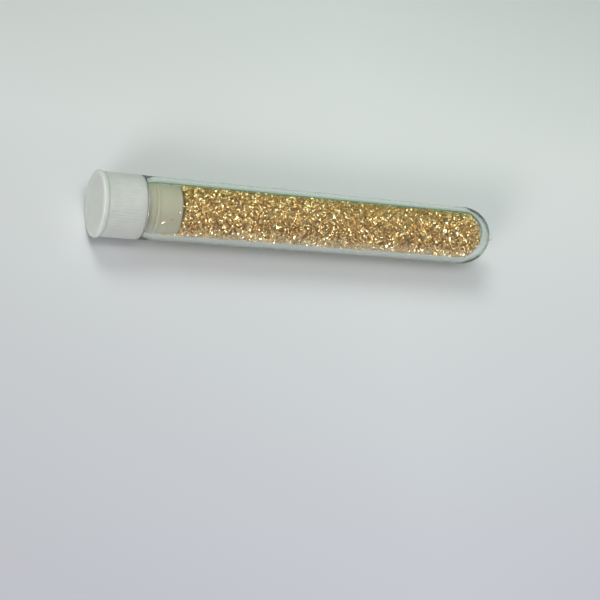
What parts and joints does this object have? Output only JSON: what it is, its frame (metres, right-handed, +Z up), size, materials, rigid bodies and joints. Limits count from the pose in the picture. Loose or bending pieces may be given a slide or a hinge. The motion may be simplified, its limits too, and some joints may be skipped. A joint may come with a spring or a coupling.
{
  "type": "sample vial",
  "caption": "Clear round-bottom sample tube lying on its side, closed by a ribbed push-in stopper and filled with loose crumpled gold leaf.",
  "frame": {"origin": "middle of the whole vial, on the tube's axis", "axes": "X along the tube from the stopper at -X to the round bottom at +X, Z up with the vial lying on its side"},
  "size_m": [0.0848, 0.0126, 0.0126],
  "materials": {
    "clear_polystyrene": "clear, polished moulded plastic with faint scuffs",
    "natural_polyethylene": "milky, slightly translucent, satin",
    "gold_leaf": "crumpled metal leaf, bright glints and deep shadows"
  },
  "bodies": {
    "vial": {"tube": "clear_polystyrene", "gold_flake_bed": "gold_leaf", "leaf_flake_01": "gold_leaf", "leaf_flake_02": "gold_leaf", "leaf_flake_03": "gold_leaf", "leaf_flake_04": "gold_leaf", "leaf_flake_05": "gold_leaf", "leaf_flake_06": "gold_leaf", "leaf_flake_07": "gold_leaf", "leaf_flake_08": "gold_leaf", "leaf_flake_09": "gold_leaf", "leaf_flake_10": "gold_leaf", "leaf_flake_11": "gold_leaf", "leaf_flake_12": "gold_leaf"},
    "stopper": {"stopper": "natural_polyethylene"}
  },
  "joints": [
    {"name": "stopper_pull", "type": "slide", "parent": "vial", "child": "stopper", "axis": [-1, 0, 0], "range_m": [0, 0.015]}
  ]
}
